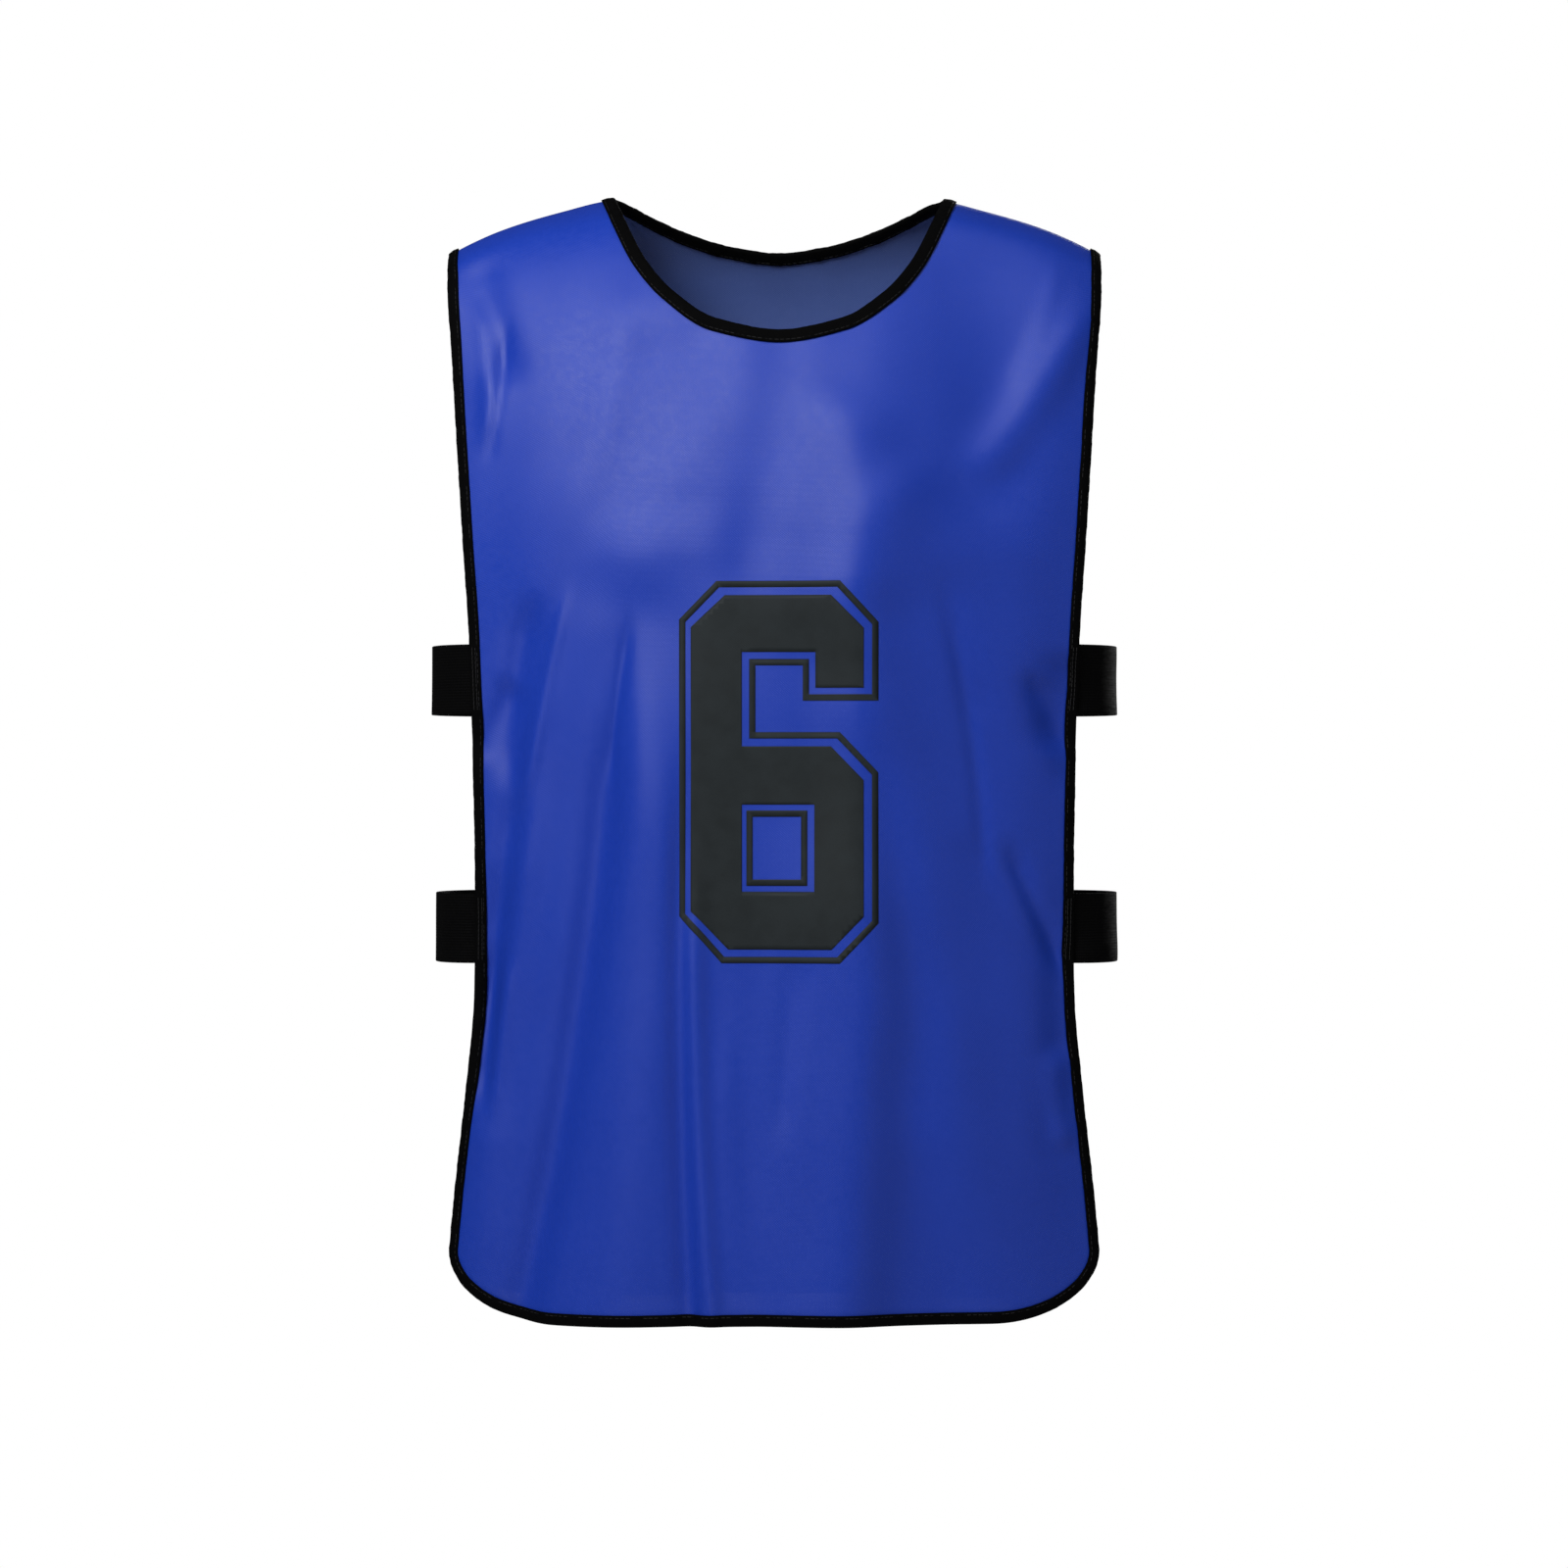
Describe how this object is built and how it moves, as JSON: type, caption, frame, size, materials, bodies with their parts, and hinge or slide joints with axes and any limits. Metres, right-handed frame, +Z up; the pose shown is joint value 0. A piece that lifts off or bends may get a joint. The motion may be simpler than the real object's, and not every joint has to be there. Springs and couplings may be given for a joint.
{
  "type": "mesh training bib",
  "caption": "Sleeveless pull-over mesh training bib, open at the sides, with bound edges, elastic side straps and a block numeral, filled out as worn.",
  "frame": {"origin": "midway between the two neck points of the shoulder seams, on the line where the bib lies on the wearer's shoulders", "axes": "+Z up, the front faces -Y, +X towards the right as seen from in front"},
  "size_m": [0.4, 0.2157, 0.6517],
  "materials": {
    "mesh_cloth": "fine royal blue knit mesh with a soft sheen",
    "edge_tape": "matt black folded knit tape, stitched",
    "elastic": "matt black ribbed elastic"
  },
  "bodies": {
    "root": {"front_panel": "mesh_cloth", "back_panel": "mesh_cloth", "neck_binding": "edge_tape", "edge_binding": "edge_tape", "strap_upper_left": "elastic", "strap_upper_right": "elastic", "strap_lower_left": "elastic", "strap_lower_right": "elastic"}
  },
  "joints": []
}
